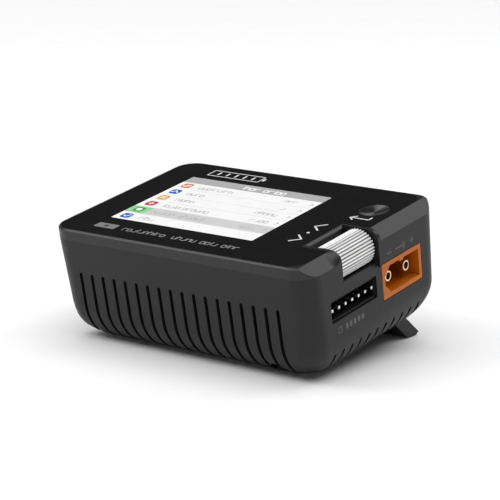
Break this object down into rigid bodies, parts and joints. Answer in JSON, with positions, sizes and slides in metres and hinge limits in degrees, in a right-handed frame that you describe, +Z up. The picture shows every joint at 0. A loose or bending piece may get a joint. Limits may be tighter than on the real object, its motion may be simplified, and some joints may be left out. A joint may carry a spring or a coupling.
{
  "type": "balance battery charger",
  "caption": "Pocket-size balance battery charger with a colour display, side scroll wheel, exit button, power and balance sockets, and a fold-out kickstand.",
  "frame": {"origin": "middle of the bounding box, on the table the charger stands on", "axes": "+X along the charger's length towards the output sockets, +Y towards the back, +Z up from the table; the charger leans forward 8.75 degrees on its open kickstand"},
  "size_m": [0.0726, 0.0556, 0.0347],
  "materials": {
    "case_plastic": "fine matte texture",
    "glass_black": "polished",
    "adhesive": "soft",
    "display": "bright display",
    "sheet_steel": "satin",
    "foam": "soft foam",
    "circuit_board": "solder mask",
    "button_plastic": "satin",
    "wheel_metal": "knurled satin",
    "orange_plastic": "satin",
    "gold": "plated",
    "black_plastic": "satin",
    "pin_metal": "tin plated",
    "white_plastic": "satin",
    "heat_sink_metal": "anodised",
    "ferrite": "pressed powder",
    "screw_steel": "black oxide",
    "rubber": "matte"
  },
  "bodies": {
    "charger": {"tub_housing": "case_plastic", "top_cover": "case_plastic", "front_glass": "glass_black", "glass_tape": "adhesive", "display_cell": "display", "display_tray": "sheet_steel", "display_foam": "foam", "control_board": "circuit_board", "main_board": "circuit_board", "exit_switch": "sheet_steel", "switch_post": "black_plastic", "wheel_switch": "sheet_steel", "output_socket": "orange_plastic", "output_contacts": "gold", "input_socket": "orange_plastic", "input_contacts": "gold", "balance_header": "black_plastic", "balance_pins": "pin_metal", "usb_shell": "sheet_steel", "usb_tongue": "white_plastic", "signal_header": "black_plastic", "signal_pins": "gold", "fan_frame": "black_plastic", "heat_sink": "heat_sink_metal", "power_transistors": "black_plastic", "inductors": "ferrite", "capacitors": "heat_sink_metal", "controller_chip": "black_plastic", "buzzer": "black_plastic", "board_link": "black_plastic", "case_screws": "screw_steel", "board_screws": "sheet_steel", "control_board_screws": "sheet_steel", "fan_screws": "screw_steel", "rubber_feet": "rubber", "stand_pins": "sheet_steel"},
    "fan_rotor": {"fan_rotor": "black_plastic"},
    "wheel": {"scroll_wheel": "wheel_metal", "wheel_axle": "sheet_steel"},
    "wheel_carrier": {"wheel_carrier": "black_plastic", "wheel_encoder": "sheet_steel"},
    "exit_button": {"exit_button": "button_plastic"},
    "kickstand": {"kickstand": "case_plastic", "stand_pad": "rubber"}
  },
  "joints": [
    {"name": "fan_spin", "type": "hinge", "parent": "charger", "child": "fan_rotor", "pos_m": [-0.005, -0.00561, 0.00624], "axis": [0, -0.1521, 0.9884], "continuous": true},
    {"name": "wheel_press", "type": "slide", "parent": "charger", "child": "wheel_carrier", "axis": [0, 0.1521, -0.9884], "range_m": [0, 0.0004], "stiffness_N_per_m": 3000, "springref_m": -0.0002},
    {"name": "wheel_spin", "type": "hinge", "parent": "wheel_carrier", "child": "wheel", "pos_m": [0.0314, -0.00736, 0.02585], "axis": [0, 0.9884, 0.1521], "continuous": true},
    {"name": "exit_press", "type": "slide", "parent": "charger", "child": "exit_button", "axis": [0, 0.1521, -0.9884], "range_m": [0, 0.00035], "stiffness_N_per_m": 3000, "springref_m": -0.0002},
    {"name": "stand_fold", "type": "hinge", "parent": "charger", "child": "kickstand", "pos_m": [0, 0.01563, 0.00697], "axis": [1, 0, 0], "range_deg": [-133, 0]}
  ]
}
